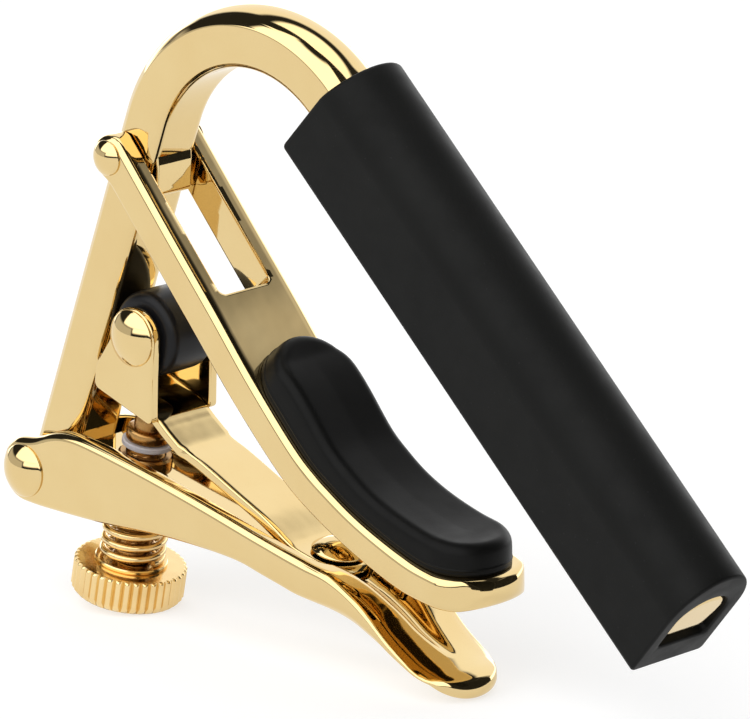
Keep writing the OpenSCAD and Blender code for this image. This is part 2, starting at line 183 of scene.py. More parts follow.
def slab(name, top, under, half_width, round_top, round_under, y_mid=0.0, rounds=6, columns=8, shape=None, flat_caps=False):
    """A part drawn in side view and given width: top and under run from its left end to its right end and share both.
    half_width(x) is its half width; its long edges are rounded. shape(verts) may bend the result."""
    n = len(top)
    outline = np.concatenate([under, top[::-1][1:-1]])
    closed = np.concatenate([outline[-2:], outline, outline[:2]])
    t = tangents(closed)[2:-2]
    inward = np.stack([-t[:, 1], t[:, 0]], 1)
    r = np.concatenate([np.broadcast_to(round_under, n), np.broadcast_to(round_top, n)[::-1][1:-1]]).astype(float)
    ends = np.minimum(np.arange(len(r)), np.abs(np.arange(len(r)) - (n - 1)))
    ends = np.minimum(ends, len(r) - np.arange(len(r)))
    mean = (np.broadcast_to(round_under, n) + np.broadcast_to(round_top, n)) / 2
    near = np.clip(ends / 6, 0, 1)
    end_r = np.where(np.abs(np.arange(len(r)) - (n - 1)) < len(r) / 4, mean[-1], mean[0])
    r = near * r + (1 - near) * end_r
    loops = []

    def ring(side, k):
        a = math.pi / 2 * k / rounds
        p = outline + inward * (r * (1 - math.cos(a)))[:, None]
        hw = half_width(p[:, 0])
        ry = np.minimum(r, hw * 0.98)
        return np.stack([p[:, 0], y_mid + side * (hw - ry + ry * math.sin(a)), p[:, 1]], 1)
    back = [ring(1, k) for k in range(rounds, -1, -1)]
    front = [ring(-1, k) for k in range(rounds + 1)]
    for c in range(1, columns):
        f = c / columns
        back.append(back[rounds] * (1 - f) + front[0] * f)
    loops = back + front
    verts = np.concatenate(loops)
    if shape:
        verts = shape(verts)
    faces = loops_to_faces(loops)
    total = len(outline)
    for base in (0, len(verts) - total):
        if flat_caps:
            faces.append(tuple(base + i for i in range(total)))
        else:
            upper = lambda i: base + (total - i) % total if i else base
            for i in range(n - 1):
                a, b = base + i, base + i + 1
                c, d = (upper(i + 1) if i + 1 < n - 1 else base + n - 1), upper(i)
                quad = [a, b, c, d]
                quad = [q for j, q in enumerate(quad) if q not in quad[:j]]
                if len(quad) > 2:
                    faces.append(tuple(quad))
    return mesh_object(name, verts, faces)


def round_in_plan(v, centre, r, width, top, under, sign=1):
    """Turns the square end of a slab beyond x = centre into a half disc, its height following the side outline."""
    x, y, z = v[:, 0].copy(), v[:, 1].copy(), v[:, 2].copy()
    run = np.clip((x - centre) * sign / r, 0, 1)
    across = np.clip(y / width, -1, 1)
    new_x = np.where(run > 0, centre + sign * r * run * np.sqrt(1 - across ** 2 / 2), x)
    new_y = np.where(run > 0, y * np.sqrt(1 - run ** 2 / 2), y)
    zt, zl = np.interp(x, top[:, 0], top[:, 1]), np.interp(x, under[:, 0], under[:, 1])
    share = np.clip((z - zl) / np.maximum(zt - zl, 0.2), 0, 1)
    high = np.interp(new_x, top[:, 0], top[:, 1]) - zt
    low = np.interp(new_x, under[:, 0], under[:, 1]) - zl
    return np.stack([new_x, new_y, z + share * high + (1 - share) * low], 1)


def turned(name, profile, origin, axis, steps=96, wave=None):
    """A body turned about an axis: profile is [(radius, height), ...]. wave(radius, height, angle) may change the radius."""
    axis = np.array(axis, float)
    axis /= np.linalg.norm(axis)
    side = np.cross(axis, [0.0, 1.0, 0.0] if abs(axis[1]) < 0.9 else [1.0, 0.0, 0.0])
    side /= np.linalg.norm(side)
    other = np.cross(axis, side)
    a = np.linspace(0, 2 * math.pi, steps, endpoint=False)
    loops = []
    for r, h in profile:
        rr = np.full(steps, max(r, 1e-4)) if wave is None else wave(max(r, 1e-4), h, a)
        loops.append(np.array(origin) + h * axis + (rr * np.cos(a))[:, None] * side + (rr * np.sin(a))[:, None] * other)
    return skin(name, loops)


def cut(o, cutter):
    """Takes the cutter away from o."""
    for thing in (o, cutter):
        tidy_mesh(thing, 180)
    m = o.modifiers.new("cut", "BOOLEAN")
    m.operation, m.solver, m.object = "DIFFERENCE", "EXACT", cutter
    graph = bpy.context.evaluated_depsgraph_get()
    mesh = bpy.data.meshes.new_from_object(o.evaluated_get(graph))
    o.modifiers.clear()
    old = o.data
    o.data = mesh
    bpy.data.meshes.remove(old)
    bpy.data.objects.remove(cutter)
    return o


def spot(x, z, y=0.0):
    return np.array([x, y, z])


def on_screw(h):
    return np.array([SCREW_FOOT[0] + h * math.sin(SCREW_TILT), 0, SCREW_FOOT[1] + h * math.cos(SCREW_TILT)])


SCREW_AXIS = on_screw(1) - on_screw(0)


# ---------------------------------------------------------------- materials
def new_material(name):
    m = bpy.data.materials.new(name)
    m.use_nodes = True
    return m, m.node_tree.nodes, m.node_tree.links, m.node_tree.nodes["Principled BSDF"]


def noise(nodes, links, scale, detail=3.0, stretch=(1, 1, 1)):
    """Noise over the part in millimetres; scale is in features per millimetre."""
    place = nodes.new("ShaderNodeTexCoord")
    size = nodes.new("ShaderNodeMapping")
    size.inputs["Scale"].default_value = [1000 * s for s in stretch]
    links.new(place.outputs["Object"], size.inputs["Vector"])
    n = nodes.new("ShaderNodeTexNoise")
    n.inputs["Scale"].default_value = scale
    n.inputs["Detail"].default_value = detail
    links.new(size.outputs["Vector"], n.inputs["Vector"])
    return n.outputs["Fac"]


def ramp(nodes, links, fac, stops):
    r = nodes.new("ShaderNodeValToRGB")
    r.color_ramp.elements[0].position, r.color_ramp.elements[1].position = stops[0][0], stops[-1][0]
    for pos, _ in stops[1:-1]:
        r.color_ramp.elements.new(pos)
    for element, (_, c) in zip(r.color_ramp.elements, stops):
        element.color = (*c, 1) if hasattr(c, "__len__") else (c, c, c, 1)
    links.new(fac, r.inputs["Fac"])
    return r.outputs["Color"]


def bump(nodes, links, heights, shader):
    """Stacks bumps: heights is [(noise output, strength, distance in mm), ...]."""
    normal = None
    for height, strength, distance in heights:
        b = nodes.new("ShaderNodeBump")
        b.inputs["Strength"].default_value = strength
        b.inputs["Distance"].default_value = distance * MM
        links.new(height, b.inputs["Height"])
        if normal:
            links.new(normal, b.inputs["Normal"])
        normal = b.outputs["Normal"]
    links.new(normal, shader.inputs["Normal"])


def gold_material(name, light, dark, rough_low, rough_high, ripple=0.05):
    m, nodes, links, s = new_material(name)
    s.inputs["Metallic"].default_value = 1.0
    colour = ramp(nodes, links, noise(nodes, links, 0.16, 4), [(0.3, dark), (0.7, light)])
    links.new(colour, s.inputs["Base Color"])
    rough = ramp(nodes, links, noise(nodes, links, 0.55, 6), [(0.35, rough_low), (0.72, rough_high)])
    links.new(rough, s.inputs["Roughness"])
    bump(nodes, links, [(noise(nodes, links, 0.22, 2), ripple, 0.3),
                        (noise(nodes, links, 5.0, 2, (1, 6, 1)), 0.015, 0.02)], s)
    return m


def rubber_material(name, colour, tint, rough, grain, sheen=0.0, specular=0.4, dust=0.0):
    m, nodes, links, s = new_material(name)
    cloud = ramp(nodes, links, noise(nodes, links, 0.12, 5), [(0.3, colour), (0.75, tint)])
    if dust:
        specks = ramp(nodes, links, noise(nodes, links, 3.2, 1), [(0.74, 0.0), (0.79, dust)])
        mix = nodes.new("ShaderNodeMix")
        mix.data_type = "RGBA"
        mix.blend_type = "ADD"
        mix.inputs["Factor"].default_value = 1.0
        links.new(cloud, mix.inputs["A"])
        links.new(specks, mix.inputs["B"])
        cloud = mix.outputs["Result"]
    links.new(cloud, s.inputs["Base Color"])
    roughness = ramp(nodes, links, noise(nodes, links, 0.4, 5), [(0.3, rough - 0.05), (0.7, rough + 0.07)])
    links.new(roughness, s.inputs["Roughness"])
    s.inputs["Specular IOR Level"].default_value = specular
    s.inputs["Sheen Weight"].default_value = sheen
    s.inputs["Sheen Roughness"].default_value = 0.5
    bump(nodes, links, [(noise(nodes, links, 6.0, 3), grain, 0.03), (noise(nodes, links, 0.5, 2), 0.08, 0.1)], s)
    return m


GOLD = gold_material("gold_polished", (0.75, 0.575, 0.285), (0.73, 0.545, 0.26), 0.03, 0.07)
GOLD_TURNED = gold_material("gold_turned", (0.88, 0.67, 0.34), (0.76, 0.53, 0.23), 0.11, 0.24, 0.1)
GOLD_WIRE = gold_material("gold_wire", (0.86, 0.66, 0.35), (0.66, 0.45, 0.2), 0.1, 0.24)
BRASS = gold_material("brass_thread", (0.58, 0.36, 0.14), (0.3, 0.15, 0.045), 0.18, 0.34, 0.2)
SLEEVE_RUBBER = rubber_material("sleeve_rubber", (0.0042, 0.0044, 0.004), (0.0062, 0.0064, 0.0058), 0.5, 0.22, 0.01, 0.12, 0.006)
PAD_RUBBER = rubber_material("pad_rubber", (0.004, 0.004, 0.0037), (0.006, 0.006, 0.0056), 0.4, 0.14, 0.0, 0.1, 0.003)
ROLLER_RUBBER = rubber_material("roller_black", (0.004, 0.004, 0.005), (0.008, 0.008, 0.009), 0.34, 0.1, 0.0, 0.2)
NYLON = rubber_material("nylon_white", (0.4, 0.38, 0.41), (0.52, 0.5, 0.52), 0.38, 0.1)


# ---------------------------------------------------------------- main bar and sleeve
def bar_ring(r_in=1.2, r_out=0.45):
    """Cross-section of the bar as (outwards from the inner face, across) points, anticlockwise."""
    h, e, c = BAR_HALF, BAR_EDGE, BAR_CREST
    rise = c - e
    dome_r = (h * h + rise * rise) / (2 * rise)
    span = math.degrees(math.asin(h / dome_r))
    dome = arc((c - dome_r, 0), dome_r, -span + 6, span - 6, 22)
    shoulder_low = arc((e - r_out * 0.9, -h + r_out), r_out, -90, -span + 2, 6)
    shoulder_high = arc((e - r_out * 0.9, h - r_out), r_out, span - 2, 90, 6)
    inner_high = arc((r_in, h - r_in), r_in, 90, 180, 8)
    inner_low = arc((r_in, -h + r_in), r_in, 180, 270, 8)
    ring = np.concatenate([shoulder_low, dome, shoulder_high, inner_high, inner_low])
    return ring


def bar_stations():
    """(place on the inner face, outward direction) down the back limb, round the bend and along the string arm."""
    limb_out = np.array([-math.sin(LIMB_ANGLE), math.cos(LIMB_ANGLE)])
    arm_out = np.array([math.sin(ARM_ANGLE), math.cos(ARM_ANGLE)])
    limb_dir = np.array([math.cos(LIMB_ANGLE), math.sin(LIMB_ANGLE)])
    arm_dir = np.array([math.cos(ARM_ANGLE), -math.sin(ARM_ANGLE)])
    limb_top, arm_start = BEND_CENTRE + BEND_R * limb_out, BEND_CENTRE + BEND_R * arm_out
    limb = limb_top @ limb_dir
    out = [(limb_top - limb_dir * s, limb_out) for s in np.linspace(limb, 0.6, 14)]
    for a in np.linspace(90 + math.degrees(LIMB_ANGLE), 90 - math.degrees(ARM_ANGLE), 72):
        d = np.array([math.cos(math.radians(a)), math.sin(math.radians(a))])
        out.append((BEND_CENTRE + BEND_R * d, d))
    for s in np.linspace(0.6, SLEEVE_FROM + SLEEVE_LEN - BAR_RECESS, 16):
        out.append((arm_start + arm_dir * s, arm_out))
    return out, arm_start, arm_dir, arm_out


stations, ARM_START, ARM_DIR, ARM_OUT = bar_stations()


def make_main_bar():
    ring = bar_ring()
    loops = [np.stack([p[0] + d[0] * ring[:, 0], ring[:, 1], p[1] + d[1] * ring[:, 0]], 1) for p, d in stations]
    # the far end, inside the sleeve's mouth, has a small chamfer
    centre = loops[-1].mean(0)
    along = spot(ARM_DIR[0], ARM_DIR[1])
    for share, ahead in ((0.985, 0.12), (0.93, 0.3), (0.86, 0.36)):
        loops.append(centre + (loops[-1] - centre) * share + along * ahead * 0.5)
    bar = skin("main_bar_forging", loops)
    finish_piece(bar, "frame", GOLD, ["main_bar"], sharp=50)
    h = BAR_HALF
    eye = turned("main_bar_eye", [(0, -h), (2.4, -h), (2.75, -h + 0.12), (2.9, -h + 0.4), (2.9, h - 0.4), (2.75, h - 0.12), (2.4, h), (0, h)],
                 spot(0, 0), (0, 1, 0))
    finish_piece(eye, "frame", GOLD)
    # stop on the inner face of the bar, under the cradle's pivot
    outer = np.concatenate([arc((15.5, 29.35), 0.55, 10, -70, 7)])
    under = resample(np.array([[14.6, 33.4], [13.6, 28.75], [14.6, 28.7]]), 40)
    top = resample(np.concatenate([[[14.6, 33.4]], [[16.2, 32.9], [16.25, 32.0]], outer, [[15.2, 28.72], [14.6, 28.7]]]), 40)
    stop = slab("main_bar_stop", top, under, lambda x: np.full_like(x, 2.3), 0.3, 0.1, columns=4, flat_caps=True)
    finish_piece(stop, "frame", GOLD)


def make_sleeve():
    h, lip = SLEEVE_HALF, 0.45
    flat = STRING_FACE

    def ring(inset, corner):
        w = h - inset
        top = STRING_FACE + SLEEVE_T - h
        dome = arc((top, 0), w, -90, 90, 49)
        high = arc((flat + inset + corner, w - corner), corner, 90, 180, 9)
        low = arc((flat + inset + corner, -w + corner), corner, 180, 270, 9)
        return np.concatenate([dome, high, low])

    def hole(grow):
        w = BAR_HALF + 0.1 + grow
        dome = arc((1.4, 0), 1, -90, 90, 49)
        dome = np.stack([3.3 + (2.62 + grow) * np.cos(np.radians(np.linspace(-90, 90, 49))), w * np.sin(np.radians(np.linspace(-90, 90, 49)))], 1)
        c = 0.5
        low_u = -0.1 - grow
        high = arc((low_u + c, w - c), c, 90, 180, 9)
        low = arc((low_u + c, -w + c), c, 180, 270, 9)
        return np.concatenate([dome, high, low])

    def place(points, s):
        base = ARM_START + ARM_DIR * SLEEVE_FROM
        q = base + np.outer(s, ARM_DIR) + np.outer(points[:, 0], ARM_OUT)
        return np.stack([q[:, 0], points[:, 1], q[:, 1]], 1)

    loops = []

    def flank(points):
        return 0.3 * np.exp(-((points[:, 0] - 3.2) / 3.5) ** 2)

    def add(points, end, depth):
        slope = MOUTH_SLOPE * (points[:, 0] - flat)
        # the end by the bend is cut squarer, and its flanks stand out a little
        s = slope * 0.35 - 0.4 - flank(points) + depth if end == 0 else SLEEVE_LEN - slope - depth
        loops.append(place(points, s))

    add(hole(0.0), 0, 3.0)
    add(hole(0.0), 0, 0.25)
    add(hole(0.12), 0, 0.06)
    add(hole(0.3), 0, 0.0)
    for f in (0.35, 0.7):
        add(hole(0.3) * (1 - f) + ring(lip, 0.5) * f, 0, 0.0)
    for a in np.radians(np.linspace(0, 90, 6)):
        add(ring(lip * (1 - math.sin(a)), 0.35 + 0.3 * math.sin(a)), 0, lip * (1 - math.cos(a)))
    body = ring(0, 0.65)
    for t in np.linspace(0.02, 0.98, 40):
        slope = MOUTH_SLOPE * (body[:, 0] - flat)
        start, end = slope * 0.35 - 0.4 - flank(body) + lip, SLEEVE_LEN - slope - lip * 0.7
        loops.append(place(body, start + (end - start) * t))
    for a in np.radians(np.linspace(90, 0, 6)):
        add(ring(lip * 0.7 * (1 - math.sin(a)), 0.35 + 0.3 * math.sin(a)), 1, lip * 0.7 * (1 - math.cos(a)))
    for f in (0.7, 0.35):
        add(hole(0.3) * (1 - f) + ring(lip * 0.7, 0.5) * f, 1, 0.0)
    add(hole(0.3), 1, 0.0)
    add(hole(0.12), 1, 0.06)
    add(hole(0.0), 1, 0.25)
    add(hole(0.0), 1, 4.0)
    sleeve = skin("string_sleeve_rubber", loops, cap=False)
    finish_piece(sleeve, "frame", SLEEVE_RUBBER, ["string_sleeve"], sharp=60)


# ---------------------------------------------------------------- cradle and pad
def cradle_curves():
    under = smooth_curve(CRADLE_UNDER, 8)
    depth = smooth_curve([[d, 0] for d in CRADLE_DEPTH], 8)[:, 0]
    t = tangents(under)
    normal = np.stack([-t[:, 1], t[:, 0]], 1)
    return under, under + normal * depth[:, None], normal


FORK = np.array([math.cos(math.radians(49)), -math.sin(math.radians(49))])
FORK_UP = np.array([-FORK[1], FORK[0]])
CRADLE_TIP, CRADLE_HALF, CRADLE_END = 53.6, 5.5, 58.2
PAD_FROM, PAD_TO = 29.6, 57.2


def shape_cradle(v):
    under, top, _ = cradle_curves()
    return round_in_plan(v, CRADLE_TIP, CRADLE_END - CRADLE_TIP, CRADLE_HALF, top, under)


def make_cradle():
    under, top, _ = cradle_curves()
    eye_r = 2.15

    def eye(angles):
        a = np.radians(angles)
        return CRADLE_PIVOT + eye_r * (np.outer(np.cos(a), FORK) + np.outer(np.sin(a), FORK_UP))
    low_start, high_start = 1.7, 0.6
    past = lambda c, s: c[(c - CRADLE_PIVOT) @ FORK > s]
    low_line, high_line = past(under, low_start), past(top, high_start)
    r_low, r_high = 0.9, 0.9
    low_line, high_line = low_line[low_line[:, 0] < CRADLE_END - r_low], high_line[high_line[:, 0] < CRADLE_END - r_high]
    zl, zh = low_line[-1][1], high_line[-1][1]
    low_end = arc((CRADLE_END - r_low, zl + r_low), r_low, 270, 360, 10)
    high_end = arc((CRADLE_END - r_high, zh - r_high), r_high, 90, 0, 10)
    middle = np.array([[CRADLE_END, (zl + r_low + zh - r_high) / 2]])
    low = soften(resample(np.concatenate([eye(np.linspace(180, 305, 30)), low_line, low_end, middle]), 260), 12)
    high = soften(resample(np.concatenate([eye(np.linspace(180, 84, 24)), high_line, high_end, middle]), 260), 6)
    cradle = slab("cradle_fork", high, low, lambda x: np.full_like(x, CRADLE_HALF), 0.85, 0.55, rounds=7, columns=24,
                  shape=shape_cradle)
    # the gap of the fork, its edges eased
    f, half, corner, reach = 0.32, 3.25, 0.8, 16.9
    loops = []
    for h, grow in [(-9, f), (-1.7, f), (-1.7 + f * 0.3, f * 0.3), (-1.7 + f, 0), (2.05 - f, 0), (2.05 - f * 0.3, f * 0.3), (2.05, f), (9, f)]:
        w, end = half + grow, reach + grow
        outline = np.concatenate([[[-9, -w]], arc((end - corner, -w + corner), corner, -90, 0, 8),
                                  arc((end - corner, w - corner), corner, 0, 90, 8), [[-9, w]]])
        q = CRADLE_PIVOT + np.outer(outline[:, 0], FORK) + h * FORK_UP
        loops.append(np.stack([q[:, 0], outline[:, 1], q[:, 1]], 1))
    cut(cradle, skin("fork_gap", loops))
    finish_piece(cradle, "cradle", GOLD, ["cradle"], sharp=40)


def make_pad():
    """Rubber pad: a bar with half-round ends that follows the cradle, with soft shoulders and a parting line."""
    _, base, normal = cradle_curves()
    along = np.concatenate([[0], np.cumsum(np.linalg.norm(np.diff(base, axis=0), axis=1))])
    crown = smooth_curve(PAD_TOP, 8)
    nearest = np.array([np.argmin(np.hypot(*(base - p).T)) for p in crown])
    lift = np.linalg.norm(crown - base[nearest], axis=1)
    first, last = np.interp(PAD_FROM, base[:, 0], along), np.interp(PAD_TO, base[:, 0], along)
    body = (along[nearest] > first + 2.2) & (along[nearest] < last - 3.2)
    where, tall = along[nearest][body], lift[body]
    thickness = np.polynomial.Polynomial.fit(where, tall, 4)
    half, shoulder, swell = 4.75, 1.1, 0.06
    run = np.linspace(first + half, last - half, 90)
    right, left = np.radians(np.linspace(-90, 90, 25)), np.radians(np.linspace(90, 270, 25))
    plan = np.concatenate([np.stack([run, np.full(90, -half)], 1), np.stack([last - half + half * np.cos(right), half * np.sin(right)], 1)[1:-1],
                           np.stack([run[::-1], np.full(90, half)], 1), np.stack([first + half + half * np.cos(left), half * np.sin(left)], 1)[1:-1]])
    axis = np.clip(plan[:, 0], first + half, last - half)
    outward = np.stack([plan[:, 0] - axis, plan[:, 1]], 1) / half

    def ring(inset, share, drop):
        s, y = (plan - outward * inset).T
        h = share * thickness(np.clip(s, where.min(), where.max())) - drop
        q = np.stack([np.interp(s, along, base[:, i]) + h * np.interp(s, along, normal[:, i]) for i in (0, 1)], 1)
        return np.stack([q[:, 0], y, q[:, 1]], 1)
    loops = [ring(0.12, 0, 0.02), ring(0, 0.03, 0)]
    loops += [ring(0.1 * q - swell * math.exp(-((q - 0.2) / 0.03) ** 2), q, 0) for q in np.linspace(0.1, 0.3, 17)]
    loops.append(ring(0.05, 0.5, 0))
    for a in np.radians(np.linspace(6, 90, 10)):
        loops.append(ring(0.08 + shoulder * (1 - math.cos(a)), 1, shoulder * (1 - math.sin(a))))
    loops += [ring(d, 1, 0.1 * (d - shoulder) / (half - shoulder)) for d in np.linspace(shoulder + 0.4, half * 0.985, 8)]
    n = len(plan)
    faces = loops_to_faces(loops)
    mirror = {i: int(np.argmin(np.hypot(plan[:, 0] - plan[i, 0], plan[:, 1] + plan[i, 1]))) for i in range(n)}
    for base_index in (0, len(faces) and (len(loops) - 1) * n):
        for i in range(n):
            j = (i + 1) % n
            quad = [base_index + k for k in (i, j, mirror[j], mirror[i])]
            quad = [q for k, q in enumerate(quad) if q not in quad[:k]]
            if plan[i, 1] + plan[j, 1] < 0 and len(quad) > 2:
                faces.append(tuple(quad))
    pad = mesh_object("neck_pad_rubber", np.concatenate(loops), faces)
    finish_piece(pad, "cradle", PAD_RUBBER, ["neck_pad"], sharp=70, weighted=False)


# ---------------------------------------------------------------- lever
TAIL_X = np.array([-10, 42, 46, 50, 60])
TAIL_W = np.array([5.3, 5.3, 5.2, 4.95, 4.9])
LEVER_END = 55.1


def lever_half(x):
    return np.interp(x, TAIL_X, TAIL_W)


def web_top(x):
    return SCREW_FOOT[1] - (x - SCREW_FOOT[0]) * math.tan(SCREW_TILT)


def shape_tail(v):
    """Rounds the tail's end and underside, and sinks a groove in its upper side that carries the channel on."""
    top, low = smooth_curve(LEVER_TOP), smooth_curve(LEVER_UNDER)
    v = round_in_plan(v, LEVER_END - 5.0, 5.0, 4.93, top, low)
    x, y, z = v.T
    zt, zl = np.interp(x, top[:, 0], top[:, 1]), np.interp(x, low[:, 0], low[:, 1])
    share = np.clip((z - zl) / np.maximum(zt - zl, 0.2), 0, 1)
    rise = 7 - np.sqrt(np.maximum(49 - y * y, 0.01))
    ease = np.clip((x - 35) / 9, 0, 1)
    ease = ease * ease * (3 - 2 * ease)
    z = z + (1 - share) * np.minimum(rise * ease, 0.55 * (zt - zl))
    # beyond the channel the upper side is a low round back, with a hollow that runs out towards the tip
    crown = np.interp(x, [40, 45, 52, 56], [0, 0.3, 0.8, 0.6]) * np.clip(np.abs(y) / 4.6, 0, 1) ** 2
    reach = np.interp(x, [36, 41, 45, 51.5], [3.5, 3.1, 2.4, 0.7])
    deep = np.interp(x, [36, 38.5, 42, 46, 51.5], [0, 1.5, 1.5, 1.0, 0])
    bowl = 0.5 + 0.5 * np.cos(math.pi * np.clip(np.abs(y) / reach, 0, 1))
    z = z - share * crown - share ** 2 * deep * bowl
    return np.stack([x, y, z], 1)


def channel_cutter(name, floor, ceiling_of, x_from, x_to, round_end):
    """A channel between the cheeks: floor(x) to far above, with eased upper edges and rounded inner corners."""
    half, ease, corner = 3.65, 0.3, 0.4
    xs = np.concatenate([np.linspace(x_from, x_to - (half if round_end else 0), 60),
                         x_to - half + half * np.sin(np.linspace(0.05, math.pi / 2 - 0.02, 16)) if round_end else []])
    loops = []
    for x in xs:
        w = half if x <= x_to - half or not round_end else math.sqrt(max(half ** 2 - (x - x_to + half) ** 2, 1e-4))
        c = min(corner, w * 0.9)
        z0, zt = floor(x), ceiling_of(x)
        side = [(w, z0 + c)] + [(w + ease * (1 - math.cos(a)), zt - ease + ease * math.sin(a)) for a in np.linspace(0, math.pi / 2, 5)] + [(w + ease, zt + 12)]
        low = arc((w - c, z0 + c), c, 270, 360, 6)[:-1]
        right = np.concatenate([low, side])
        ring = np.concatenate([right, right[::-1] * [-1, 1]])
        loops.append(np.stack([np.full(len(ring), x), ring[:, 0], ring[:, 1]], 1))
    return skin(name, loops)


def make_lever():
    top, low = smooth_curve(LEVER_TOP), smooth_curve(LEVER_UNDER)
    left = (-3.2, 0.0)
    top = np.concatenate([arc((0, 0), 3.2, 180, 104, 22), top])
    low = np.concatenate([arc((0, 0), 3.2, 180, 268, 22), low])
    tip = np.array([[LEVER_END, -11.6]])
    top = np.concatenate([top[top[:, 0] < LEVER_END - 1.25], arc((LEVER_END - 1.2, -11.45), 1.2, 82, 8, 10), tip])
    low = np.concatenate([low[low[:, 0] < LEVER_END - 1.0], arc((LEVER_END - 0.8, -11.72), 0.8, 285, 350, 8), tip])
    n = 320
    top, low = soften(resample(top, n), 6), soften(resample(low, n), 5)
    along = np.linspace(0, 1, n)
    r_top = np.interp(along, [0, 0.6, 0.8, 0.95, 1], [0.85, 0.85, 1.25, 1.25, 0.9])
    r_low = np.interp(along, [0, 0.6, 0.8, 1], [0.7, 0.7, 0.6, 0.5])
    lever = slab("lever_pressing", top, low, lever_half, r_top, r_low, rounds=8, columns=32, shape=shape_tail)
    upper = smooth_curve([[-4, 3.0]] + LEVER_TOP[1:])
    ceiling = lambda x: np.interp(x, upper[:, 0], upper[:, 1])
    deep = lambda x: web_top(x) if x > 5.2 else -20.0
    cut(lever, channel_cutter("channel", deep, ceiling, -8, 36.8 + 3.65, True))
    # recess under the web, round the spring
    half, under = 3.65, lambda x: web_top(x) - WEB / math.cos(SCREW_TILT)
    loops = [np.array([[x, -half, -20], [x, half, -20], [x, half, under(x)], [x, -half, under(x)]]) for x in np.linspace(-8, 20, 12)]
    cut(lever, skin("recess", loops))
    finish_piece(lever, "lever", GOLD, ["lever"], sharp=40)


# ---------------------------------------------------------------- roller bracket
def make_bracket():
    r = 2.9
    c = ROLLER_PIVOT
    outline = np.concatenate([arc(c, r, 188, -8, 50), [[16.9, 11.9], [16.72, 8.3]], arc((16.2, 7.85), 0.5, 0, -110, 8),
                              arc((9.95, 10.4), 0.85, 249, 170, 10), [[9.35, 12.0]]])
    n = 70
    loop = resample(np.concatenate([outline, outline[:1]]), 2 * n - 1)[:-1]
    start = int(np.argmin(loop[:, 0]))
    loop = np.roll(loop, -start, axis=0)
    top, under = loop[:n], np.concatenate([loop[:1], loop[n - 1:][::-1]])
    for side, name in ((-1, "roller_bracket_ear_front"), (1, "roller_bracket_ear_back")):
        ear = slab(name, top, under[:n], lambda x: np.full_like(x, 0.5), 0.22, 0.22, y_mid=side * 3.9, rounds=5, columns=2, flat_caps=True)
        finish_piece(ear, "bracket", GOLD, ["roller_bracket"])
    leaf = smooth_curve(LEAF_TOP, 10)
    t = tangents(leaf)
    below = leaf + np.stack([t[:, 1], -t[:, 0]], 1) * 1.0

    def half(x):
        return 3.38 - 0.22 * np.clip((x - 19.2) / 0.5, 0, 1)
    n = 160
    mid_left, mid_right = (leaf[0] + below[0]) / 2, (leaf[-1] + below[-1]) / 2
    upper = soften(resample(np.concatenate([[mid_left], leaf[1:-1], [mid_right]]), n), 2)
    lower = soften(resample(np.concatenate([[mid_left], below[1:-1], [mid_right]]), n), 2)
    spring = slab("roller_bracket_leaf", upper, lower, half, 0.22, 0.22, rounds=4, columns=16,
                  shape=lambda v: round_in_plan(v, 36.8, 3.16, 3.16, leaf, below))
    finish_piece(spring, "bracket", GOLD)


# ---------------------------------------------------------------- rivets, roller, washers
def dome_profile(r, tall, skirt=0.14, count=16):
    """Half outline of a domed head, from its rim to its crown."""
    rise = tall - skirt
    ball = (r * r + rise * rise) / (2 * rise)
    top = math.asin(min(r / ball, 1))
    return [(r - 0.03, 0.0), (r, 0.04), (r, skirt * 0.7)] + [
        (ball * math.sin(a), skirt + rise - ball + ball * math.cos(a)) for a in np.linspace(top * 0.985, 0, count)]


def make_rivet(name, place, r, tall, grip, pin, body, node, y=None):
    head = dome_profile(r, tall)
    back = [(q, grip / 2 + h) for q, h in head]
    front = [(q, -grip / 2 - h) for q, h in head][::-1]
    o = turned(name, front + [(pin, -grip / 2), (pin, grip / 2)] + back, spot(*place), (0, 1, 0), 72)
    finish_piece(o, body, GOLD, [node], sharp=42)


def ring_piece(name, place, axis, low, high, r, bore, body, material, node, ease=0.08, steps=64):
    profile = [(bore, low), (r - ease, low), (r, low + ease), (r, high - ease), (r - ease, high), (bore, high)]
    o = turned(name, profile + profile[:1], place, axis, steps)
    finish_piece(o, body, material, [node])


def make_roller():
    length, r = 3.0, 4.1
    rim = [(r - 1.0 * (1 - math.cos(a)), length - 1.0 * (1 - math.sin(a))) for a in np.linspace(math.pi / 2, 0, 9)]
    profile = [(1.1, -length)] + [(q, -h) for q, h in rim] + [(r + 0.04, 0)] + rim[::-1] + [(1.1, length)]
    o = turned("roller_body", profile, spot(*ROLLER_PIVOT), (0, 1, 0), 96)
    finish_piece(o, "roller", ROLLER_RUBBER, ["roller"], sharp=50)


# ---------------------------------------------------------------- adjusting screw
def make_screw():
    pitch, depth, major = 0.7, 0.34, 1.9

    def thread(r, h, a):
        if not (KNOB_TO - 0.4 < h < 1.45) or r < 1.2:
            return np.full(a.shape, r)
        phase = (h / pitch - a / (2 * math.pi)) % 1.0
        crest = np.clip(np.abs(phase - 0.5) * 2.6 - 0.3, 0, 1)
        return np.full(a.shape, r) - depth * crest
    rows = [(0.0, KNOB_FROM + 0.9), (major, KNOB_FROM + 0.9)] + [(major, h) for h in np.arange(KNOB_TO - 0.5, 1.5, pitch / 10)]
    rows += [(1.7, 1.5), (1.3, 1.55), (1.3, 2.15), (1.9, 2.15), (2.1, 2.25), (2.15, 2.4), (2.15, 3.1), (2.05, 3.32), (1.85, 3.42), (1.5, 3.46)]
    rows += [(1.5 * math.cos(a), 4.02 + 1.5 * math.sin(a)) for a in np.linspace(0.02, math.pi / 2, 14)]
    o = turned("adjusting_screw_stud", rows, on_screw(0), SCREW_AXIS, 48, thread)
    finish_piece(o, "screw", BRASS, ["adjusting_screw"], sharp=50, weighted=False)


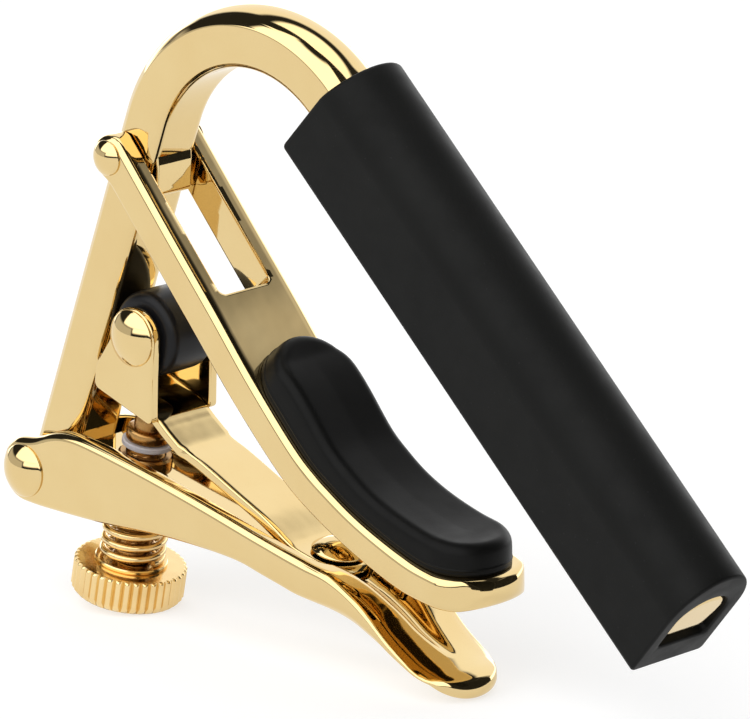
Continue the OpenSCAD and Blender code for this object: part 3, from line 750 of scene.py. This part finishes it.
def make_knob():
    flutes, deep = 38, 0.4
    per = 14
    low, high, r, c = KNOB_FROM, KNOB_TO, KNOB_R, 0.35

    def wave(radius, h, a):
        fade = np.clip(min((h - low) / 0.12, (high - h) / 0.12), 0, 1)
        reach = np.clip((radius - (r - 1.2)) / 1.0, 0, 1)
        ridge = np.abs(np.cos(a * flutes / 2)) ** 0.9
        return np.full(a.shape, radius) - deep * fade * reach * (1 - ridge)
    profile = [(0, low), (3.9, low), (4.2, low + 0.02), (r - c - 0.1, low), (r - c, low + 0.02), (r - 0.1, low + c - 0.06), (r, low + c + 0.08)]
    profile += [(r, h) for h in np.linspace(low + c + 0.3, high - 0.5, 5)]
    profile += [(r, high - 0.3), (r - 0.05, high - 0.14), (r - 0.22, high - 0.02), (r - 0.5, high), (4.0, high), (2.0, high), (0, high)]
    o = turned("thumb_knob_turned", profile, on_screw(0), SCREW_AXIS, flutes * per, wave)
    finish_piece(o, "screw", GOLD_TURNED, ["thumb_knob"], sharp=55, weighted=False)


def make_spring():
    coils, r, wire = 6, 2.85, 0.37
    low, high = KNOB_TO + 0.4 + wire + 0.02, -WEB - wire - 0.02
    side = np.array([math.cos(SCREW_TILT), 0, -math.sin(SCREW_TILT)])
    other = np.array([0, 1.0, 0])
    t = np.linspace(0, 1, coils * 48 + 1)
    # the end turns lie closed on their seats
    rise = np.interp(t, [0, 0.6 / coils, 1 - 0.6 / coils, 1], [0, 0.25 / coils, 1 - 0.25 / coils, 1])
    a = 2 * math.pi * coils * t
    line = on_screw(0) + np.outer(low + (high - low) * rise, SCREW_AXIS) + r * (np.outer(np.cos(a), side) + np.outer(np.sin(a), other))
    along = tangents(line)
    out = np.outer(np.cos(a), side) + np.outer(np.sin(a), other)
    up = np.cross(out, along)
    loops = []
    for k in range(len(t)):
        b = np.linspace(0, 2 * math.pi, 12, endpoint=False)
        loops.append(line[k] + wire * (np.outer(np.cos(b), out[k]) + np.outer(np.sin(b), up[k])))
    o = skin("screw_spring_wire", loops)
    tidy_mesh(o, 60)
    o.data.materials.append(GOLD_WIRE)
    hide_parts("screw_spring")
    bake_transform(o)


make_main_bar()
make_sleeve()
make_cradle()
make_pad()
make_lever()
make_bracket()
make_roller()
make_rivet("lever_rivet_domed", (0, 0), 2.6, 1.2, 10.6, 1.2, "lever", "lever_rivet")
make_rivet("cradle_rivet_domed", CRADLE_PIVOT, 1.7, 0.9, 11.0, 0.98, "frame", "cradle_rivet")
make_rivet("roller_rivet_domed", ROLLER_PIVOT, 2.75, 1.2, 8.8, 1.05, "bracket", "roller_rivet")
leaf_axis = (math.sin(LEAF_SLOPE), 0, math.cos(LEAF_SLOPE))
leaf_head = [(r, h + 0.25) for r, h in dome_profile(2.6, 1.2)]
finish_piece(turned("leaf_rivet_domed", [(0, -3.3), (1.2, -3.3), (1.2, 0.25)] + leaf_head, spot(*LEAF_RIVET), leaf_axis, 72),
             "lever", GOLD, ["leaf_rivet"], sharp=42)
for side, word in ((-1, "front"), (1, "back")):
    ring_piece(f"lever_washer_{word}_ring", spot(0, 0, side * 3.375), (0, 1, 0), -0.225, 0.225, 2.9, 1.25, "lever", GOLD_TURNED, f"lever_washer_{word}")
    ring_piece(f"roller_washer_{word}_ring", spot(*ROLLER_PIVOT, side * 3.2), (0, 1, 0), -0.15, 0.15, 2.0, 1.1, "bracket", NYLON, f"roller_washer_{word}", 0.05)
make_screw()
ring_piece("thread_bush_ring", on_screw(0), SCREW_AXIS, -WEB, 0.8, 2.65, 1.95, "lever", BRASS, "thread_bush", 0.2)
ring_piece("tip_collar_ring", on_screw(0), SCREW_AXIS, 1.57, 2.13, 2.45, 1.31, "screw", NYLON, "tip_collar", 0.1)
ring_piece("knob_washer_ring", on_screw(0), SCREW_AXIS, KNOB_TO, KNOB_TO + 0.4, 3.5, 1.95, "screw_carrier", GOLD_TURNED, "knob_washer", 0.1)
make_knob()
make_spring()


# ---------------------------------------------------------------- floor, light and camera
# soft boxes: measured from the front or the back, left edge, right edge, lower edge, upper edge, level, softness of the edges
SKY = [("front", -51, 64, 18, 78, 2.1, 3), ("front", -14, 64, 7, 20, 2.0, 3), ("front", -88, -18, -20, 16, 0.68, 3),
       ("back", -12, 70, 14, 48, 1.25, 3), ("back", -40, -15, 14, 40, 0.75, 4), ("back", -38, 86, -20, 15, 2.6, 5),
       ("back", -72, 82, 61, 91, 1.9, 3), ("front", -70, 40, 55, 77, 2.0, 3)]


def make_floor():
    mesh = bpy.data.meshes.new("floor")
    mesh.from_pydata([(-6, -6, 0), (6, -6, 0), (6, 6, 0), (-6, 6, 0)], [], [(0, 1, 2, 3)])
    o = bpy.data.objects.new("floor", mesh)
    bpy.context.scene.collection.objects.link(o)
    m, nodes, links, s = new_material("floor_paper")
    s.inputs["Base Color"].default_value = (0.42, 0.42, 0.42, 1)
    s.inputs["Roughness"].default_value = 0.9
    s.inputs["Specular IOR Level"].default_value = 0.0
    # it glows a little, like a light table
    s.inputs["Emission Color"].default_value = (1, 1, 1, 1)
    s.inputs["Emission Strength"].default_value = 0.63
    mesh.materials.append(m)


def make_world():
    """A dark studio with soft boxes: each is a patch of the sky, in degrees round from the front and up from the horizon."""
    world = bpy.data.worlds.new("studio")
    bpy.context.scene.world = world
    world.use_nodes = True
    nodes, links = world.node_tree.nodes, world.node_tree.links

    def math_node(operation, *values):
        n = nodes.new("ShaderNodeMath")
        n.operation = operation
        for socket, v in zip(n.inputs, values):
            if isinstance(v, (int, float)):
                socket.default_value = v
            else:
                links.new(v, socket)
        return n.outputs["Value"]

    def step(value, at, soft):
        n = nodes.new("ShaderNodeMapRange")
        n.interpolation_type = "SMOOTHSTEP"
        n.inputs["From Min"].default_value, n.inputs["From Max"].default_value = at - soft, at + soft
        links.new(value, n.inputs["Value"])
        return n.outputs["Result"]

    place = nodes.new("ShaderNodeTexCoord")
    split = nodes.new("ShaderNodeSeparateXYZ")
    links.new(place.outputs["Generated"], split.inputs["Vector"])
    x, y, z = split.outputs
    to_degrees = 180 / math.pi
    from_front = math_node("MULTIPLY", math_node("ARCTAN2", x, math_node("MULTIPLY", y, -1.0)), to_degrees)
    from_back = math_node("MULTIPLY", math_node("ARCTAN2", math_node("MULTIPLY", x, -1.0), y), to_degrees)
    height = math_node("MULTIPLY", math_node("ARCSINE", z), to_degrees)
    light = 0.025
    for round_from, left, right, low, high, level, soft in SKY:
        turn = from_back if round_from == "back" else from_front
        patch = math_node("MULTIPLY", step(turn, left, soft), math_node("SUBTRACT", 1.0, step(turn, right, soft)))
        patch = math_node("MULTIPLY", patch, math_node("MULTIPLY", step(height, low, soft), math_node("SUBTRACT", 1.0, step(height, high, soft))))
        light = math_node("MAXIMUM", light, math_node("MULTIPLY", patch, level))
    links.new(light, nodes["Background"].inputs["Color"])
    nodes["Background"].inputs["Strength"].default_value = 1.0


def make_flag():
    """A low black flag to the right of the capo, seen only in its reflections."""
    a = np.radians(np.linspace(68, 158, 24))
    r, tall = 0.14, 0.12
    low = [(r * math.sin(t), -r * math.cos(t), 0.0005) for t in a]
    mesh = bpy.data.meshes.new("flag")
    mesh.from_pydata(low + [(x, y, tall) for x, y, _ in low], [], [(i, i + 1, i + 25, i + 24) for i in range(23)])
    o = bpy.data.objects.new("flag", mesh)
    bpy.context.scene.collection.objects.link(o)
    m, nodes, links, s = new_material("flag_cloth")
    s.inputs["Base Color"].default_value = (0.02, 0.02, 0.02, 1)
    s.inputs["Roughness"].default_value = 1.0
    s.inputs["Specular IOR Level"].default_value = 0.0
    mesh.materials.append(m)
    o.visible_camera = o.visible_diffuse = o.visible_shadow = o.visible_transmission = False


def make_camera():
    """The photograph's viewpoint: 44 degrees round, 16 up, turned with the capo onto its feet."""
    az, el, distance, turn = math.radians(44), math.radians(16), 0.735, math.radians(1.1)
    forward = np.array([-math.sin(az) * math.cos(el), math.cos(az) * math.cos(el), -math.sin(el)])
    right = np.array([math.cos(az), math.sin(az), 0])
    up = np.cross(right, forward)
    tilt = np.array([[math.cos(turn), 0, math.sin(turn)], [0, 1, 0], [-math.sin(turn), 0, math.cos(turn)]])
    middle = np.array([0.0417 + PIVOT[0] + 0.0002, 0, 0.03])
    rows = np.stack([tilt @ right, tilt @ up, tilt @ -forward], 1)
    data = bpy.data.cameras.new("camera")
    data.lens, data.sensor_width = 384, 36
    data.clip_start, data.clip_end = 0.05, 20
    o = bpy.data.objects.new("camera", data)
    o.matrix_world = Matrix.LocRotScale(Vector(middle + tilt @ (-forward * distance)), Matrix(rows.tolist()), None)
    bpy.context.scene.collection.objects.link(o)
    bpy.context.scene.camera = o


make_floor()
make_world()
make_flag()
make_camera()
bpy.context.scene.view_settings.view_transform = "Standard"
bpy.context.scene.view_settings.exposure = 0.0
